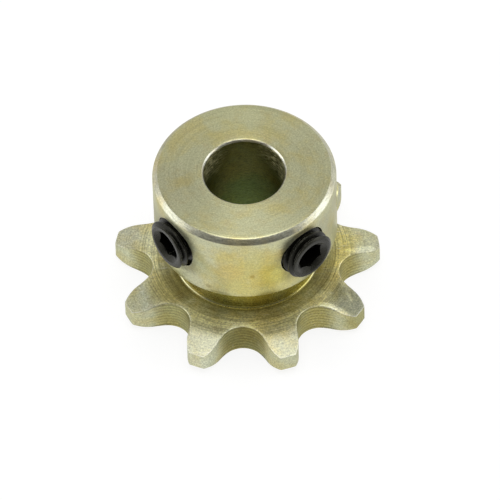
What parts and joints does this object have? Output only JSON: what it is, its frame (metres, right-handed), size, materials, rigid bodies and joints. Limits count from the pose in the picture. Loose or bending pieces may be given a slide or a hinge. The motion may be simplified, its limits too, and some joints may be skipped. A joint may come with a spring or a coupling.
{
  "type": "roller chain sprocket",
  "caption": "Small roller chain sprocket turned from solid with its hub, with a plain through bore and socket set screws in the hub's side.",
  "frame": {"origin": "on the bore's axis, in the middle plane of the tooth plate, which is the plane that the chain runs in", "axes": "+Z along the bore towards the hub's free end; -Y towards the side between the two set screws that faces the viewer; +X to the right of that"},
  "size_m": [0.0316, 0.0314, 0.0193],
  "materials": {
    "zinc_plate": "turned and hobbed steel with a pale yellowish zinc plating",
    "black_oxide": "black oxide on alloy steel, satin"
  },
  "bodies": {
    "sprocket": {"sprocket": "zinc_plate"},
    "left_screw": {"set_screw_left": "black_oxide"},
    "right_screw": {"set_screw_right": "black_oxide"}
  },
  "joints": [
    {"name": "left_screw_travel", "type": "slide", "parent": "sprocket", "child": "left_screw", "axis": [-0.8007, -0.599, 0], "range_m": [-0.00077, 0.003]},
    {"name": "right_screw_travel", "type": "slide", "parent": "sprocket", "child": "right_screw", "axis": [0.6266, -0.7793, 0], "range_m": [-0.00118, 0.0026]}
  ]
}
